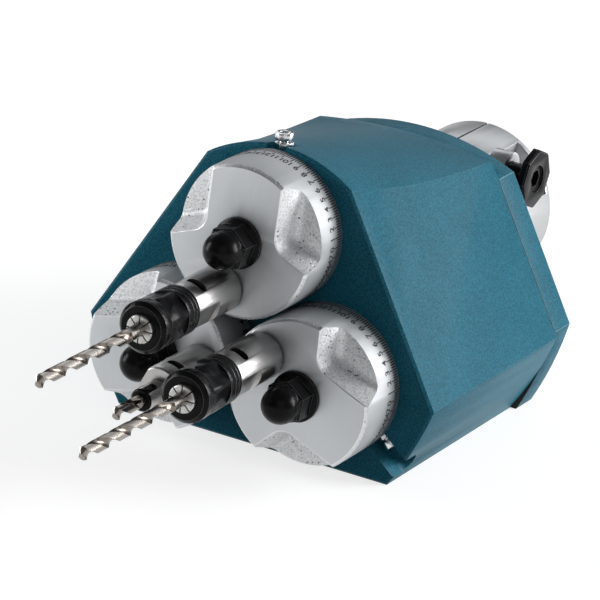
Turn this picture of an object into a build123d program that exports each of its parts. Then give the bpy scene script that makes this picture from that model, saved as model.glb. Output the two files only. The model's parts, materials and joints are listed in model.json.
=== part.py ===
from build123d import *
import math
import os

os.makedirs("parts", exist_ok=True)

# Frame: the spindles point along -Y, +Z is up, and the origin is the middle of the collar's rear mouth.
# Heights are measured forwards from the housing's front face, so places inside the housing are negative.

# Housing outline
flat_distance = 87.0
bottom_distance = 84.5
top_corner_x = 48.6
top_rise = 15.5
lower_corner_z = -31.0
bottom_corner_x = 93.0
lower_bulge = 2.0
rear_corner_z = 69.5
rear_rise = 5.0
housing_depth = 166.0
trim_allowance = 4.0
arch_overrun = 10.0
front_chamfer = 1.5

# Housing inside
web_back = 22.0
lobe_radius = 45.6
lobe_roof_z = 92.0
lobe_limit = 95.5
lobe_end = 45.0
hub_radius = 40.0
idler_room_radius = 23.5
chamber_end = 72.0
rear_bore_radius = 67.5
tapped_extra = 2.0

# Rear cover and gasket
gasket_thickness = 0.8
cover_thickness = 22.0
cover_top_corner_z = 59.0
cover_top_rise = 14.0
cover_lower_corner_z = -28.0
cover_bottom_corner_x = 97.0
cover_edge = 1.5
cover_screw_upper = (62.0, 50.0)
cover_screw_side = (98.0, -28.0)
cover_screw_lower = (72.0, -71.0)
cover_screw_radius = 2.5
cover_screw_head = 4.25
cover_screw_head_height = 5.0
cover_screw_sink = 6.0
cover_screw_grip = 14.0
cover_screw_key = 4.0
head_clearance = 0.3
key_depth_share = 0.6

# Clamp collar
collar_radius = 51.0
collar_length = 98.0
collar_bore_radius = 25.0
collar_root_bore_radius = 30.0
collar_root_length = 20.0
collar_edge = 2.0
slit_width = 1.5
saw_cut = 3.0
saw_cut_z = 6.0
notch_x = 24.0
notch_z = 16.0
rear_ring = 6.0
clamp_lug_radius = 13.0
clamp_lug_end = 36.0
collar_bolt_circle = 40.5
collar_bolt_count = 4
collar_bolt_turn = 45.0
collar_bolt_radius = 4.0
collar_bolt_head = 6.5
collar_bolt_head_height = 8.0
collar_bolt_sink = 9.0
collar_bolt_grip = 15.0
collar_bolt_key = 6.0
clamp_bolt_z = 35.5
clamp_bolt_radius = 7.0
clamp_bolt_inner_x = -30.0
clamp_bolt_head_x = 50.0
clamp_bolt_head_sides = 8
clamp_bolt_head_flats = 36.0
clamp_bolt_head_height = 5.0
clamp_bolt_recess_radius = 9.0
clamp_bolt_recess_depth = 1.5
clamp_bolt_key = 10.0
clamp_bolt_key_depth = 9.0
clamp_bolt_edge = 1.0

# Gears
gear_module = 1.5
sun_teeth = 48
idler_teeth = 26
pinion_teeth = 16
pressure_angle = 20.0
addendum = 0.9
dedendum = 1.2
tooth_thinning = 0.12
flank_steps = 5
sun_front = -48.0
sun_width = 16.0
sun_hub_radius = 16.0
idler_front = -24.5
idler_width = 42.0
pinion_front = -26.0
pinion_width = 16.0

# Drive shaft and its bearings
shaft_front = -46.0
shaft_radius = 10.0
shaft_shoulder_radius = 14.0
shaft_rear_radius = 12.5
shaft_tail = 18.0
shaft_key_socket = 14.0
shaft_key_depth = 14.0
key_width = 6.0
key_low = 6.5
key_high = 12.5
key_length = 14.0
key_inset = 1.0
plate_thickness = 20.0
front_ring_radius = 23.5
front_ring_width = 14.0
front_ball_circle = 16.75
rear_ring_radius = 26.0
rear_ring_width = 15.0
rear_ball_circle = 19.25
ball_radius = 3.97
groove_radius = 4.03
ring_land = 2.3
ring_recess = 1.2
ball_count = 9
plate_hole_radius = 18.0
plate_fit = 0.05
plate_screw_circle = 57.0
plate_screw_count = 3
plate_screw_turn = 30.0
plate_screw_radius = 4.0
plate_screw_head = 6.5
plate_screw_head_height = 8.0
plate_screw_grip = 12.0
plate_screw_key = 6.0
seal_radius = 20.0
seal_width = 5.3
running_fit = 0.05

# Studs, bushes and nuts on the disc centres
stud_radius = 8.0
stud_flange_radius = 12.0
stud_flange_width = 5.0
stud_tip = 65.0
stud_tail = 12.0
stud_tail_radius = 5.0
stud_edge = 1.0
stud_nut_flats = 17.0
stud_nut_height = 8.0
bush_radius = 10.0
bush_standout = 0.5

# Eccentric discs
disc_radius = 47.0
disc_height = 40.0
disc_edge = 1.8
spigot_radius = 42.4
spigot_length = 20.0
scallop_turn = 14.0
scallop_corner_along = -2.0
scallop_corner_aside = 23.0
scallop_wall_angle = 67.0
scallop_corner = 12.0
scallop_depth = 15.0
scallop_taper = 24.0
scallop_floor_round = 5.0
scallop_crest_round = 0.8

# Disc clamp screws in their pockets
clamp_screw_height = -11.0
clamp_floor = 44.8
pocket_radius = 7.0
pocket_front = 6.0
pocket_reach = 60.0
clamp_screw_radius = 3.0
clamp_tip_gap = 0.3
clamp_head_base = 50.5
clamp_head_radius = 5.5
clamp_head_height = 4.5
clamp_head_key = 5.0
clamp_head_key_depth = 3.0
lock_nut_flats = 10.0
lock_nut_height = 4.0

# Dome nuts
nut_flange_radius = 15.5
nut_flange_edge = 2.5
nut_flange_height = 4.5
nut_flats = 24.0
nut_hex_top = 16.5
nut_edge = 1.2
dome_radius = 11.4
dome_shoulder = 19.5
nut_bore_depth = 26.0

# Spindles and needle bearings
spindle_shaft_radius = 7.5
spindle_tail_radius = 6.0
spindle_step = -22.0
spindle_end = -44.0
nose_gap = 1.2
nose_radius = 14.5
nose_end = 90.0
nose_edge = 1.0
socket_mouth_radius = 6.3
socket_floor_radius = 5.15
socket_floor = 45.0
slot_width = 6.0
slot_span = 13.2
slot_height = 77.0
slot_angle = 73.0
flat_angle = -25.0
flats_across = 24.0
flat_length = 24.0
cup_radius = 10.5
cup_bore_radius = 9.6
cup_length = 18.0
front_cup_end = 38.0
rear_cup_start = 0.5
needle_radius = 1.0
needle_circle = 8.55
needle_length = 14.0
needle_count = 12
cage_inner_radius = 7.8
cage_outer_radius = 9.3
cage_width = 1.0
shaft_hole_radius = 8.2

# Collet chucks
chuck_gap = 0.5
shank_gap = 1.0
chuck_flange_radius = 15.2
chuck_flange_end = 102.5
chuck_groove_depth = 0.7
chuck_groove_width = 1.2
chuck_groove_places = (3.5, 7.0)
chuck_thread_radius = 11.0
chuck_end = 126.0
chuck_bore_radius = 4.4
nut_start = 103.5
nut_turn = 20.0
nut_hex_flats = 28.0
nut_hex_end = 122.0
nut_turned_radius = 15.6
nut_collar_radius = 15.8
nut_collar_edge = 0.8
nut_front = 131.5
nut_front_edge = 2.5
nut_mouth_radius = 8.9
collet_face = 134.0
collet_radius = 8.5
collet_edge = 0.6
collet_cone_end_radius = 5.6
collet_back = 106.0
collet_land = 1.0
collet_slits = 8
collet_slit_width = 0.8
collet_slit_depth = 20.0
collet_slit_overcut = 0.5

# Drills and the third spindle's holder
drill_radius = 4.0
drill_back = 104.0
flute_start = 147.0
flute_end = 240.0
flute_half_turns = 4
flute_turn = 40.0
flute_radius = 2.2
flute_centre = 4.1
land_radius = 3.9
flute_overlap = 1.0
point_radius = 1.8
point_length = 3.0
holder_radius = 7.0
holder_end = 110.0
holder_edge = 1.0
holder_screw_inset = 10.0
holder_screw_radius = 2.5
holder_screw_key = 2.5
holder_screw_key_depth = 1.8
stub_back = 72.0
stub_flute_start = 114.0
stub_end = 136.0
stub_half_turns = 1

# Places that follow from the sizes above
disc_circle = gear_module * (sun_teeth + idler_teeth) / 2
spindle_offset = gear_module * (idler_teeth + pinion_teeth) / 2
cover_front = -(housing_depth + gasket_thickness)
cover_rear = cover_front - cover_thickness
collar_rear = cover_rear - collar_length
front_y = collar_rear
clamp_part_front = cover_rear - collar_root_length - saw_cut
cos30 = math.cos(math.radians(30))
sin30 = math.sin(math.radians(30))
top_corner_z = (flat_distance - top_corner_x * cos30) / sin30
lower_corner_x = (flat_distance - lower_corner_z * sin30) / cos30
plate_front = -chamber_end
plate_rear = plate_front - plate_thickness
front_ring_back = plate_front - front_ring_width
stud_flange_front = plate_front + stud_flange_width
stud_end = plate_rear - stud_tail
rear_ring_front = cover_front - ring_recess
rear_ring_back = rear_ring_front - rear_ring_width
shaft_end = cover_rear - shaft_tail

# Each station: its name, the angle of its disc centre, and from there the angles of its spindle
# and of its clamp screw
stations = [("top", 90.0, -106.0, 94.0), ("right", -30.0, 143.0, -40.0), ("left", 210.0, 0.0, 220.0)]


def polar(radius, angle):
    return radius * math.cos(math.radians(angle)), radius * math.sin(math.radians(angle))


disc_centres = {name: polar(disc_circle, angle) for name, angle, turn, clamp in stations}
spindle_centres = {}
for name, angle, turn, clamp in stations:
    offset = polar(spindle_offset, turn)
    spindle_centres[name] = (disc_centres[name][0] + offset[0], disc_centres[name][1] + offset[1])


def front_plane(x, z, height, turn=0.0):
    """Plane facing the spindle side at a height, its x turned from +X."""
    along = (math.cos(math.radians(turn)), 0, math.sin(math.radians(turn)))
    return Plane(origin=(x, front_y - height, z), x_dir=along, z_dir=(0, -1, 0))


def turning_plane(x, z):
    """Plane through a spindle-wise axis: x is radius, y is height."""
    return Plane(origin=(x, front_y, z), x_dir=(1, 0, 0), z_dir=(0, 0, -1))


def turning_axis(x, z):
    return Axis((x, front_y, z), (0, -1, 0))


def radial_plane(centre, angle, distance):
    """Plane facing outwards from a disc centre: x is height."""
    out = polar(distance, angle)
    facing = (math.cos(math.radians(angle)), 0, math.sin(math.radians(angle)))
    return Plane(origin=(centre[0] + out[0], front_y, centre[1] + out[1]), x_dir=(0, -1, 0), z_dir=facing)


def bolt_plane(x):
    """Plane facing +X on the collar clamp screw's axis, half way along the clamping ring."""
    along = front_y - (clamp_part_front + collar_rear) / 2
    return Plane(origin=(x, along, clamp_bolt_z), x_dir=(0, -1, 0), z_dir=(1, 0, 0))


def arch(half_width, corner_z, rise, reach):
    """Left end, crown and right end of a wide arc that passes through two corners."""
    radius = (half_width**2 + rise**2) / (2 * rise)
    end_z = corner_z + rise - radius + math.sqrt(radius**2 - reach**2)
    return (-reach, end_z), (0, corner_z + rise), (reach, end_z)


def within_rim(edge):
    """Whether an edge of a disc belongs to a scallop and not to the disc's rim."""
    return edge.geom_type != GeomType.CIRCLE or edge.radius < disc_radius / 2


def mirrored(points):
    return [(side * x, z) for x, z in points for side in (-1, 1)]


def involute(angle):
    return math.tan(angle) - angle


def gear_outline(teeth, phase):
    """Points round an involute gear with a tooth centred on the phase angle."""
    pitch = gear_module * teeth / 2
    base = pitch * math.cos(math.radians(pressure_angle))
    tip = pitch + addendum * gear_module
    root = pitch - dedendum * gear_module
    start = max(base, root)
    radii = [root] if root < base else []
    radii += [start + (tip - start) * step / flank_steps for step in range(flank_steps + 1)]
    half_pitch = math.pi / (2 * teeth) - tooth_thinning / (2 * pitch)
    halves = []
    for radius in radii:
        roll = math.acos(min(1.0, base / max(radius, base)))
        halves.append(half_pitch + involute(math.radians(pressure_angle)) - involute(roll))
    points = []
    for tooth in range(teeth):
        middle = math.radians(phase) + 2 * math.pi * tooth / teeth
        flank = list(zip(radii, halves))
        for radius, half in flank:
            points.append((radius * math.cos(middle - half), radius * math.sin(middle - half)))
        for radius, half in reversed(flank):
            points.append((radius * math.cos(middle + half), radius * math.sin(middle + half)))
    return points


cover_screw_places = mirrored([cover_screw_upper, cover_screw_side, cover_screw_lower])

# Main housing: a truncated-triangle block whose arched top falls and flattens towards the back
blank_top_z = top_corner_z + top_rise + trim_allowance
blank_top_x = (flat_distance - blank_top_z * sin30) / cos30
lower_mid_x = (lower_corner_x + bottom_corner_x) / 2 + lower_bulge * cos30
lower_mid_z = (lower_corner_z - bottom_distance) / 2 - lower_bulge * sin30
rear_corner_x = (flat_distance - rear_corner_z * sin30) / cos30
arch_reach = rear_corner_x + arch_overrun
clear_top_z = blank_top_z + arch_overrun
with BuildPart() as main_housing:
    with BuildSketch(front_plane(0, 0, 0)):
        with BuildLine():
            Line((-bottom_corner_x, -bottom_distance), (bottom_corner_x, -bottom_distance))
            ThreePointArc((bottom_corner_x, -bottom_distance), (lower_mid_x, lower_mid_z),
                          (lower_corner_x, lower_corner_z))
            Polyline((lower_corner_x, lower_corner_z), (blank_top_x, blank_top_z),
                     (-blank_top_x, blank_top_z), (-lower_corner_x, lower_corner_z))
            ThreePointArc((-lower_corner_x, lower_corner_z), (-lower_mid_x, lower_mid_z),
                          (-bottom_corner_x, -bottom_distance))
        make_face()
    extrude(amount=-housing_depth)
    for height, corner_x, corner_z, rise in ((0, top_corner_x, top_corner_z, top_rise),
                                             (-housing_depth, rear_corner_x, rear_corner_z, rear_rise)):
        left, crown, right = arch(corner_x, corner_z, rise, arch_reach)
        with BuildSketch(front_plane(0, 0, height)):
            with BuildLine():
                ThreePointArc(left, crown, right)
                Polyline(right, (arch_reach, clear_top_z), (-arch_reach, clear_top_z), left)
            make_face()
    loft(mode=Mode.SUBTRACT)
    chamfer(main_housing.faces().sort_by(Axis.Y)[0].outer_wire().edges(), front_chamfer)
    # Spigot bores
    with BuildSketch(front_plane(0, 0, 0)):
        with Locations(*disc_centres.values()):
            Circle(spigot_radius + running_fit)
    extrude(amount=-web_back, mode=Mode.SUBTRACT)
    # Room for the swinging pinions, then for the gears behind them, then the round rear bore
    with BuildSketch(front_plane(0, 0, -web_back)):
        Circle(hub_radius)
        with Locations(*disc_centres.values()):
            Circle(lobe_radius)
        Circle(lobe_limit, mode=Mode.INTERSECT)
        with Locations((0, lobe_roof_z)):
            Rectangle(2 * lobe_limit, lobe_limit, align=(Align.CENTER, Align.MIN), mode=Mode.SUBTRACT)
    extrude(amount=web_back - lobe_end, mode=Mode.SUBTRACT)
    with BuildSketch(front_plane(0, 0, -web_back)):
        Circle(hub_radius)
        with Locations(*disc_centres.values()):
            Circle(idler_room_radius)
    extrude(amount=web_back - chamber_end, mode=Mode.SUBTRACT)
    with BuildSketch(front_plane(0, 0, -chamber_end)):
        Circle(rear_bore_radius)
    extrude(amount=chamber_end - housing_depth, mode=Mode.SUBTRACT)
    # Tapped holes for the bearing plate and the rear cover
    with BuildSketch(front_plane(0, 0, -chamber_end)):
        with PolarLocations(plate_screw_circle, plate_screw_count, start_angle=plate_screw_turn):
            Circle(plate_screw_radius)
    extrude(amount=plate_screw_grip + tapped_extra, mode=Mode.SUBTRACT)
    with BuildSketch(front_plane(0, 0, -housing_depth)):
        with Locations(*cover_screw_places):
            Circle(cover_screw_radius)
    extrude(amount=cover_screw_grip + tapped_extra, mode=Mode.SUBTRACT)
    # Screw pockets at the front edge and their tapped holes
    for name, angle, turn, clamp in stations:
        with BuildSketch(radial_plane(disc_centres[name], clamp, clamp_floor)):
            with Locations((clamp_screw_height, 0)):
                Circle(pocket_radius)
            with Locations(((clamp_screw_height + pocket_front) / 2, 0)):
                Rectangle(pocket_front - clamp_screw_height, 2 * pocket_radius)
        extrude(amount=pocket_reach, mode=Mode.SUBTRACT)
        with BuildSketch(radial_plane(disc_centres[name], clamp, spigot_radius - clamp_screw_radius)):
            with Locations((clamp_screw_height, 0)):
                Circle(clamp_screw_radius + running_fit)
        extrude(amount=clamp_floor - spigot_radius + clamp_screw_radius, mode=Mode.SUBTRACT)
main_housing.part.label = "main_housing"
export_step(main_housing.part, "parts/main_housing.step")

# Rear cover and its gasket share one outline
cover_top_x = (flat_distance - cover_top_corner_z * sin30) / cos30
cover_lower_x = (flat_distance - cover_lower_corner_z * sin30) / cos30
cover_mid_x = (cover_lower_x + cover_bottom_corner_x) / 2 + lower_bulge * cos30
cover_mid_z = (cover_lower_corner_z - bottom_distance) / 2 - lower_bulge * sin30
with BuildSketch() as cover_outline:
    with BuildLine():
        Line((-cover_bottom_corner_x, -bottom_distance), (cover_bottom_corner_x, -bottom_distance))
        ThreePointArc((cover_bottom_corner_x, -bottom_distance), (cover_mid_x, cover_mid_z),
                      (cover_lower_x, cover_lower_corner_z))
        Line((cover_lower_x, cover_lower_corner_z), (cover_top_x, cover_top_corner_z))
        ThreePointArc((cover_top_x, cover_top_corner_z), (0, cover_top_corner_z + cover_top_rise),
                      (-cover_top_x, cover_top_corner_z))
        Line((-cover_top_x, cover_top_corner_z), (-cover_lower_x, cover_lower_corner_z))
        ThreePointArc((-cover_lower_x, cover_lower_corner_z), (-cover_mid_x, cover_mid_z),
                      (-cover_bottom_corner_x, -bottom_distance))
    make_face()

with BuildPart() as cover_gasket:
    with BuildSketch(front_plane(0, 0, -housing_depth)):
        add(cover_outline.sketch)
        Circle(rear_bore_radius, mode=Mode.SUBTRACT)
        with Locations(*cover_screw_places):
            Circle(cover_screw_radius, mode=Mode.SUBTRACT)
    extrude(amount=-gasket_thickness)
cover_gasket.part.label = "cover_gasket"
export_step(cover_gasket.part, "parts/cover_gasket.step")

with BuildPart() as rear_cover:
    with BuildSketch(front_plane(0, 0, cover_front)):
        add(cover_outline.sketch)
    extrude(amount=-cover_thickness)
    chamfer(rear_cover.faces().sort_by(Axis.Y)[-1].outer_wire().edges(), cover_edge)
    with BuildSketch(front_plane(0, 0, cover_front)):
        Circle(rear_ring_radius)
    extrude(amount=rear_ring_back - cover_front, mode=Mode.SUBTRACT)
    with BuildSketch(front_plane(0, 0, cover_front)):
        Circle(seal_radius)
    extrude(amount=-cover_thickness, mode=Mode.SUBTRACT)
    with BuildSketch(front_plane(0, 0, cover_front)):
        with Locations(*cover_screw_places):
            Circle(cover_screw_radius)
        with PolarLocations(collar_bolt_circle, collar_bolt_count, start_angle=collar_bolt_turn):
            Circle(collar_bolt_radius)
    extrude(amount=-cover_thickness, mode=Mode.SUBTRACT)
    with BuildSketch(front_plane(0, 0, cover_rear)):
        with Locations(*cover_screw_places):
            Circle(cover_screw_head + head_clearance)
    extrude(amount=cover_screw_sink, mode=Mode.SUBTRACT)
    with BuildSketch(front_plane(0, 0, cover_front)):
        with PolarLocations(collar_bolt_circle, collar_bolt_count, start_angle=collar_bolt_turn):
            Circle(collar_bolt_head + head_clearance)
    extrude(amount=-collar_bolt_sink, mode=Mode.SUBTRACT)
rear_cover.part.label = "rear_cover"
export_step(rear_cover.part, "parts/rear_cover.step")

# Socket cap screws that hold the cover, from the back
cover_head_base = cover_rear + cover_screw_sink
with BuildPart() as cover_screws:
    with BuildSketch(front_plane(0, 0, cover_head_base)):
        with Locations(*cover_screw_places):
            Circle(cover_screw_head)
    extrude(amount=-cover_screw_head_height)
    with BuildSketch(front_plane(0, 0, cover_head_base)):
        with Locations(*cover_screw_places):
            Circle(cover_screw_radius)
    extrude(amount=cover_screw_grip - housing_depth - cover_head_base)
    with BuildSketch(front_plane(0, 0, cover_head_base - cover_screw_head_height)):
        with Locations(*cover_screw_places):
            RegularPolygon(cover_screw_key / 2, 6, major_radius=False)
    extrude(amount=cover_screw_head_height * key_depth_share, mode=Mode.SUBTRACT)
cover_screws.part.label = "cover_screws"
export_step(cover_screws.part, "parts/cover_screws.step")

# Bearing plate inside the housing, with its three screws
with BuildPart() as bearing_plate:
    with BuildSketch(front_plane(0, 0, plate_front)):
        Circle(rear_bore_radius - plate_fit)
        Circle(plate_hole_radius, mode=Mode.SUBTRACT)
        with Locations(*disc_centres.values()):
            Circle(stud_tail_radius, mode=Mode.SUBTRACT)
        with PolarLocations(plate_screw_circle, plate_screw_count, start_angle=plate_screw_turn):
            Circle(plate_screw_radius, mode=Mode.SUBTRACT)
    extrude(amount=-plate_thickness)
    with BuildSketch(front_plane(0, 0, plate_front)):
        Circle(front_ring_radius)
    extrude(amount=-front_ring_width, mode=Mode.SUBTRACT)
bearing_plate.part.label = "bearing_plate"
export_step(bearing_plate.part, "parts/bearing_plate.step")

with BuildPart() as bearing_plate_screws:
    with BuildSketch(front_plane(0, 0, plate_rear)):
        with PolarLocations(plate_screw_circle, plate_screw_count, start_angle=plate_screw_turn):
            Circle(plate_screw_head)
    extrude(amount=-plate_screw_head_height)
    with BuildSketch(front_plane(0, 0, plate_rear)):
        with PolarLocations(plate_screw_circle, plate_screw_count, start_angle=plate_screw_turn):
            Circle(plate_screw_radius)
    extrude(amount=plate_thickness + plate_screw_grip)
    with BuildSketch(front_plane(0, 0, plate_rear - plate_screw_head_height)):
        with PolarLocations(plate_screw_circle, plate_screw_count, start_angle=plate_screw_turn):
            RegularPolygon(plate_screw_key / 2, 6, major_radius=False)
    extrude(amount=plate_screw_head_height * key_depth_share, mode=Mode.SUBTRACT)
bearing_plate_screws.part.label = "bearing_plate_screws"
export_step(bearing_plate_screws.part, "parts/bearing_plate_screws.step")

# Split clamp collar: a root ring bolted to the cover, a saw cut, and a clamping ring with a slit
with BuildPart() as clamp_collar:
    with BuildSketch(front_plane(0, 0, cover_rear)):
        Circle(collar_radius)
        Circle(collar_bore_radius, mode=Mode.SUBTRACT)
    extrude(amount=-collar_length)
    chamfer(clamp_collar.faces().sort_by(Axis.Y)[-1].outer_wire().edges(), collar_edge)
    with BuildSketch(front_plane(0, 0, cover_rear)):
        Circle(collar_root_bore_radius)
    extrude(amount=clamp_part_front - cover_rear, mode=Mode.SUBTRACT)
    with BuildSketch(front_plane(0, 0, clamp_part_front + saw_cut)):
        with Locations((0, saw_cut_z)):
            Rectangle(3 * collar_radius, 2 * collar_radius, align=(Align.CENTER, Align.MIN))
    extrude(amount=-saw_cut, mode=Mode.SUBTRACT)
    with BuildSketch(front_plane(0, 0, clamp_part_front)):
        Rectangle(slit_width, 2 * collar_radius, align=(Align.CENTER, Align.MIN))
    extrude(amount=-collar_length, mode=Mode.SUBTRACT)
    with BuildSketch(front_plane(0, 0, clamp_part_front)):
        with Locations((notch_x, notch_z)):
            Rectangle(2 * collar_radius, 2 * collar_radius, align=(Align.MIN, Align.MIN))
    extrude(amount=collar_rear + rear_ring - clamp_part_front, mode=Mode.SUBTRACT)
    with BuildSketch(bolt_plane(notch_x)):
        Circle(clamp_lug_radius)
    extrude(amount=clamp_lug_end - notch_x)
    with BuildSketch(front_plane(0, 0, cover_rear)):
        with PolarLocations(collar_bolt_circle, collar_bolt_count, start_angle=collar_bolt_turn):
            Circle(collar_bolt_radius)
    extrude(amount=-collar_bolt_grip - tapped_extra, mode=Mode.SUBTRACT)
    with BuildSketch(bolt_plane(-collar_radius)):
        Circle(clamp_bolt_radius + running_fit)
    extrude(amount=2 * collar_radius, mode=Mode.SUBTRACT)
clamp_collar.part.label = "clamp_collar"
export_step(clamp_collar.part, "parts/clamp_collar.step")

with BuildPart() as collar_bolts:
    with BuildSketch(front_plane(0, 0, cover_front - collar_bolt_sink)):
        with PolarLocations(collar_bolt_circle, collar_bolt_count, start_angle=collar_bolt_turn):
            Circle(collar_bolt_head)
    extrude(amount=collar_bolt_head_height)
    with BuildSketch(front_plane(0, 0, cover_front - collar_bolt_sink)):
        with PolarLocations(collar_bolt_circle, collar_bolt_count, start_angle=collar_bolt_turn):
            Circle(collar_bolt_radius)
    extrude(amount=cover_rear - collar_bolt_grip - cover_front + collar_bolt_sink)
    with BuildSketch(front_plane(0, 0, cover_front - collar_bolt_sink + collar_bolt_head_height)):
        with PolarLocations(collar_bolt_circle, collar_bolt_count, start_angle=collar_bolt_turn):
            RegularPolygon(collar_bolt_key / 2, 6, major_radius=False)
    extrude(amount=-collar_bolt_head_height * key_depth_share, mode=Mode.SUBTRACT)
collar_bolts.part.label = "collar_bolts"
export_step(collar_bolts.part, "parts/collar_bolts.step")

# Collar clamp screw, lying across the slit along X
with BuildPart() as collar_clamp_screw:
    with BuildSketch(bolt_plane(clamp_bolt_head_x)):
        RegularPolygon(clamp_bolt_head_flats / 2, clamp_bolt_head_sides, major_radius=False)
    extrude(amount=clamp_bolt_head_height)
    chamfer(collar_clamp_screw.faces().sort_by(Axis.X)[-1].outer_wire().edges(), clamp_bolt_edge)
    with BuildSketch(bolt_plane(clamp_bolt_inner_x)):
        Circle(clamp_bolt_radius)
    extrude(amount=clamp_bolt_head_x - clamp_bolt_inner_x)
    with BuildSketch(bolt_plane(clamp_bolt_head_x + clamp_bolt_head_height)):
        Circle(clamp_bolt_recess_radius)
    extrude(amount=-clamp_bolt_recess_depth, mode=Mode.SUBTRACT)
    with BuildSketch(bolt_plane(clamp_bolt_head_x + clamp_bolt_head_height)):
        RegularPolygon(clamp_bolt_key / 2, 6, major_radius=False)
    extrude(amount=-clamp_bolt_key_depth, mode=Mode.SUBTRACT)
collar_clamp_screw.part.label = "collar_clamp_screw"
export_step(collar_clamp_screw.part, "parts/collar_clamp_screw.step")

# Drive shaft with a keyway at the front and a hexagon socket at the back
with BuildPart() as drive_shaft:
    with BuildSketch(turning_plane(0, 0)):
        with BuildLine():
            Polyline((0, shaft_front), (shaft_radius, shaft_front), (shaft_radius, front_ring_back),
                     (shaft_shoulder_radius, front_ring_back), (shaft_shoulder_radius, rear_ring_front),
                     (shaft_rear_radius, rear_ring_front), (shaft_rear_radius, shaft_end), (0, shaft_end),
                     close=True)
        make_face()
    revolve(axis=turning_axis(0, 0))
    with BuildSketch(front_plane(0, 0, sun_front - key_inset)):
        with Locations((0, key_low)):
            Rectangle(key_width, shaft_radius, align=(Align.CENTER, Align.MIN))
    extrude(amount=-key_length, mode=Mode.SUBTRACT)
    with BuildSketch(front_plane(0, 0, shaft_end)):
        RegularPolygon(shaft_key_socket / 2, 6, major_radius=False)
    extrude(amount=shaft_key_depth, mode=Mode.SUBTRACT)
drive_shaft.part.label = "drive_shaft"
export_step(drive_shaft.part, "parts/drive_shaft.step")

with BuildPart() as sun_key:
    with BuildSketch(front_plane(0, 0, sun_front - key_inset)):
        with Locations((0, key_low)):
            Rectangle(key_width, key_high - key_low, align=(Align.CENTER, Align.MIN))
    extrude(amount=-key_length)
sun_key.part.label = "sun_key"
export_step(sun_key.part, "parts/sun_key.step")

with BuildPart() as sun_gear:
    with BuildSketch(front_plane(0, 0, sun_front)):
        with BuildLine():
            Polyline(*gear_outline(sun_teeth, 0.0), close=True)
        make_face()
    extrude(amount=-sun_width)
    with BuildSketch(front_plane(0, 0, sun_front - sun_width)):
        Circle(sun_hub_radius)
    extrude(amount=plate_front - sun_front + sun_width)
    with BuildSketch(front_plane(0, 0, sun_front)):
        Circle(shaft_radius)
        Rectangle(key_width, key_high, align=(Align.CENTER, Align.MIN))
    extrude(amount=plate_front - sun_front, mode=Mode.SUBTRACT)
sun_gear.part.label = "sun_gear"
export_step(sun_gear.part, "parts/sun_gear.step")

# Ball bearings of the drive shaft: one in the bearing plate, one in the rear cover
front_ring_middle = plate_front - front_ring_width / 2
rear_ring_middle = rear_ring_front - rear_ring_width / 2
drive_bearings = [
    (front_ring_middle, front_ring_width, shaft_radius, front_ball_circle, front_ring_radius),
    (rear_ring_middle, rear_ring_width, shaft_rear_radius, rear_ball_circle, rear_ring_radius),
]
with BuildPart() as drive_bearing_outer_rings:
    with BuildSketch(turning_plane(0, 0)):
        for middle, width, bore, circle, outside in drive_bearings:
            with Locations((circle + ring_land, middle)):
                Rectangle(outside - circle - ring_land, width, align=(Align.MIN, Align.CENTER))
            with Locations((circle, middle)):
                Circle(groove_radius, mode=Mode.SUBTRACT)
    revolve(axis=turning_axis(0, 0))
drive_bearing_outer_rings.part.label = "drive_bearing_outer_rings"
export_step(drive_bearing_outer_rings.part, "parts/drive_bearing_outer_rings.step")

with BuildPart() as drive_bearing_inner_rings:
    with BuildSketch(turning_plane(0, 0)):
        for middle, width, bore, circle, outside in drive_bearings:
            with Locations((bore, middle)):
                Rectangle(circle - ring_land - bore, width, align=(Align.MIN, Align.CENTER))
            with Locations((circle, middle)):
                Circle(groove_radius, mode=Mode.SUBTRACT)
    revolve(axis=turning_axis(0, 0))
drive_bearing_inner_rings.part.label = "drive_bearing_inner_rings"
export_step(drive_bearing_inner_rings.part, "parts/drive_bearing_inner_rings.step")

with BuildPart() as drive_bearing_balls:
    for middle, width, bore, circle, outside in drive_bearings:
        with Locations(front_plane(0, 0, middle)):
            with PolarLocations(circle, ball_count):
                Sphere(ball_radius)
drive_bearing_balls.part.label = "drive_bearing_balls"
export_step(drive_bearing_balls.part, "parts/drive_bearing_balls.step")

with BuildPart() as shaft_seal:
    with BuildSketch(turning_plane(0, 0)):
        with Locations((shaft_rear_radius + running_fit, rear_ring_back)):
            Rectangle(seal_radius - shaft_rear_radius - running_fit, seal_width,
                      align=(Align.MIN, Align.MAX))
    revolve(axis=turning_axis(0, 0))
shaft_seal.part.label = "shaft_seal"
export_step(shaft_seal.part, "parts/shaft_seal.step")

# Studs on the disc centres, with their bushes and rear nuts
with BuildPart() as idler_studs:
    for x, z in disc_centres.values():
        with BuildSketch(turning_plane(x, z)):
            with BuildLine():
                Polyline((0, stud_end), (stud_tail_radius, stud_end), (stud_tail_radius, plate_front),
                         (stud_flange_radius, plate_front), (stud_flange_radius, stud_flange_front),
                         (stud_radius, stud_flange_front), (stud_radius, stud_tip - stud_edge),
                         (stud_radius - stud_edge, stud_tip), (0, stud_tip), close=True)
            make_face()
        revolve(axis=turning_axis(x, z))
idler_studs.part.label = "idler_studs"
export_step(idler_studs.part, "parts/idler_studs.step")

with BuildPart() as idler_bushes:
    with BuildSketch(front_plane(0, 0, stud_flange_front)):
        with Locations(*disc_centres.values()):
            Circle(bush_radius)
            Circle(stud_radius, mode=Mode.SUBTRACT)
    extrude(amount=idler_front + bush_standout - stud_flange_front)
idler_bushes.part.label = "idler_bushes"
export_step(idler_bushes.part, "parts/idler_bushes.step")

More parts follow.
